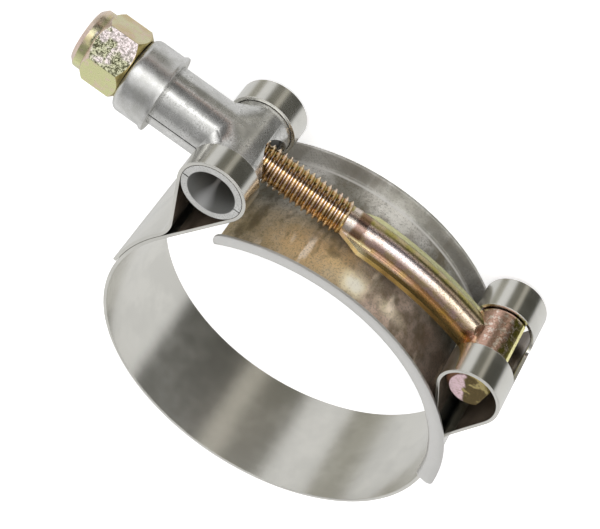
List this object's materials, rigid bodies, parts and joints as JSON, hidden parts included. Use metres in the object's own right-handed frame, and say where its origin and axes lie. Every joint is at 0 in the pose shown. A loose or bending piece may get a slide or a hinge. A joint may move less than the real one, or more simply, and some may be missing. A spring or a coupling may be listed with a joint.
{
  "type": "t-bolt hose clamp",
  "caption": "Round band clamp for a hose: a looped steel band with a flanged bridge, pulled tight by a T-headed bolt, a trunnion and a lock nut.",
  "frame": {"origin": "on the hose axis, in the middle of the band's width", "axes": "+Z along the hose axis, X along the bolt with the nut towards -X, +Y from the hose axis to the bolt"},
  "size_m": [0.0822, 0.0672, 0.0228],
  "materials": {
    "band_steel": "satin",
    "bridge_steel": "satin",
    "trunnion_steel": "satin",
    "zinc_yellow": "yellow zinc plating on steel",
    "insert_plastic": "dull"
  },
  "bodies": {
    "clamp_ring": {"band": "band_steel", "bridge": "bridge_steel"},
    "trunnion": {"trunnion_upper": "trunnion_steel", "trunnion_lower": "trunnion_steel", "trunnion_collar": "trunnion_steel"},
    "bolt": {"t_bolt": "zinc_yellow"},
    "nut": {"lock_nut": "zinc_yellow", "nut_insert": "insert_plastic"}
  },
  "joints": [
    {"name": "nut_turn", "type": "hinge", "parent": "trunnion", "child": "nut", "pos_m": [-0.0426, 0.0318, 0], "axis": [1, 0, 0], "range_deg": [0, 4320]},
    {"name": "band_close", "type": "hinge", "parent": "clamp_ring", "child": "trunnion", "pos_m": [0.0185, -0.2727, 0], "axis": [0, 0, -1], "range_deg": [0, 2.29], "deforming": ["band"]},
    {"name": "t_bolt_pivot", "type": "hinge", "parent": "clamp_ring", "child": "bolt", "pos_m": [0.0245, 0.0273, 0], "axis": [0, 0, -1], "range_deg": [0, 2.29]}
  ],
  "couplings": [
    {"joint": "band_close", "follows": "nut_turn", "ratio": 0.00053045},
    {"joint": "t_bolt_pivot", "follows": "nut_turn", "ratio": 0.00053045}
  ]
}
